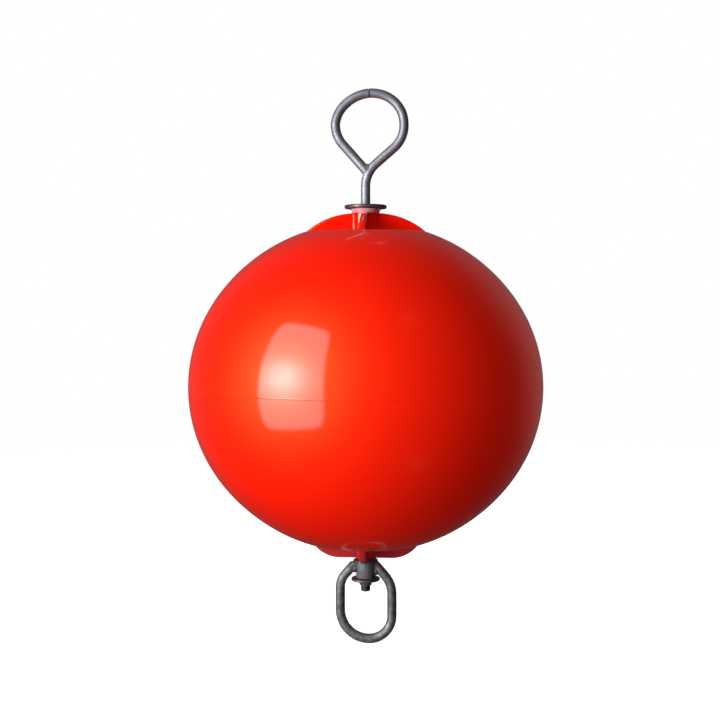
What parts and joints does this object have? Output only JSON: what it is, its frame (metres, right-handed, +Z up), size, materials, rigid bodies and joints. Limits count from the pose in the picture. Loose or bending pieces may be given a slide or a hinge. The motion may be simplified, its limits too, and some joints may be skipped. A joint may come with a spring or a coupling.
{
  "type": "anchor buoy",
  "caption": "Hollow moulded ball float on a galvanised rod, with a pear-shaped eye above it and a swivelling bow below for the ground chain.",
  "frame": {"origin": "centre of the float on the rod's axis, at the waterline", "axes": "+Z up along the rod towards the eye, +X to the right across the eye and the bow, -Y to the front"},
  "size_m": [0.45, 0.45, 0.7084],
  "materials": {
    "float_plastic": "glossy signal red-orange moulded plastic",
    "bush_plastic": "satin white nylon",
    "galvanised": "hot-dip galvanised",
    "dull_galvanised": "dull, rough hot-dip galvanised",
    "washer_steel": "dark weathered zinc"
  },
  "bodies": {
    "float": {"float_shell": "float_plastic", "top_bush": "bush_plastic"},
    "rod": {"eye_rod": "galvanised", "eye_left_half": "galvanised", "eye_weld": "galvanised", "top_washer": "washer_steel", "upper_swivel_washer": "washer_steel", "lower_swivel_washer": "washer_steel", "rod_end_weld": "dull_galvanised"},
    "bow": {"swivel_hub": "dull_galvanised", "bow": "dull_galvanised", "bow_weld_left": "dull_galvanised", "bow_weld_right": "dull_galvanised"}
  },
  "joints": [
    {"name": "rod_turn", "type": "hinge", "parent": "float", "child": "rod", "pos_m": [0, 0, 0], "axis": [0, 0, 1], "continuous": true},
    {"name": "bow_swivel", "type": "hinge", "parent": "rod", "child": "bow", "pos_m": [0, 0, -0.235], "axis": [0, 0, 1], "continuous": true}
  ]
}
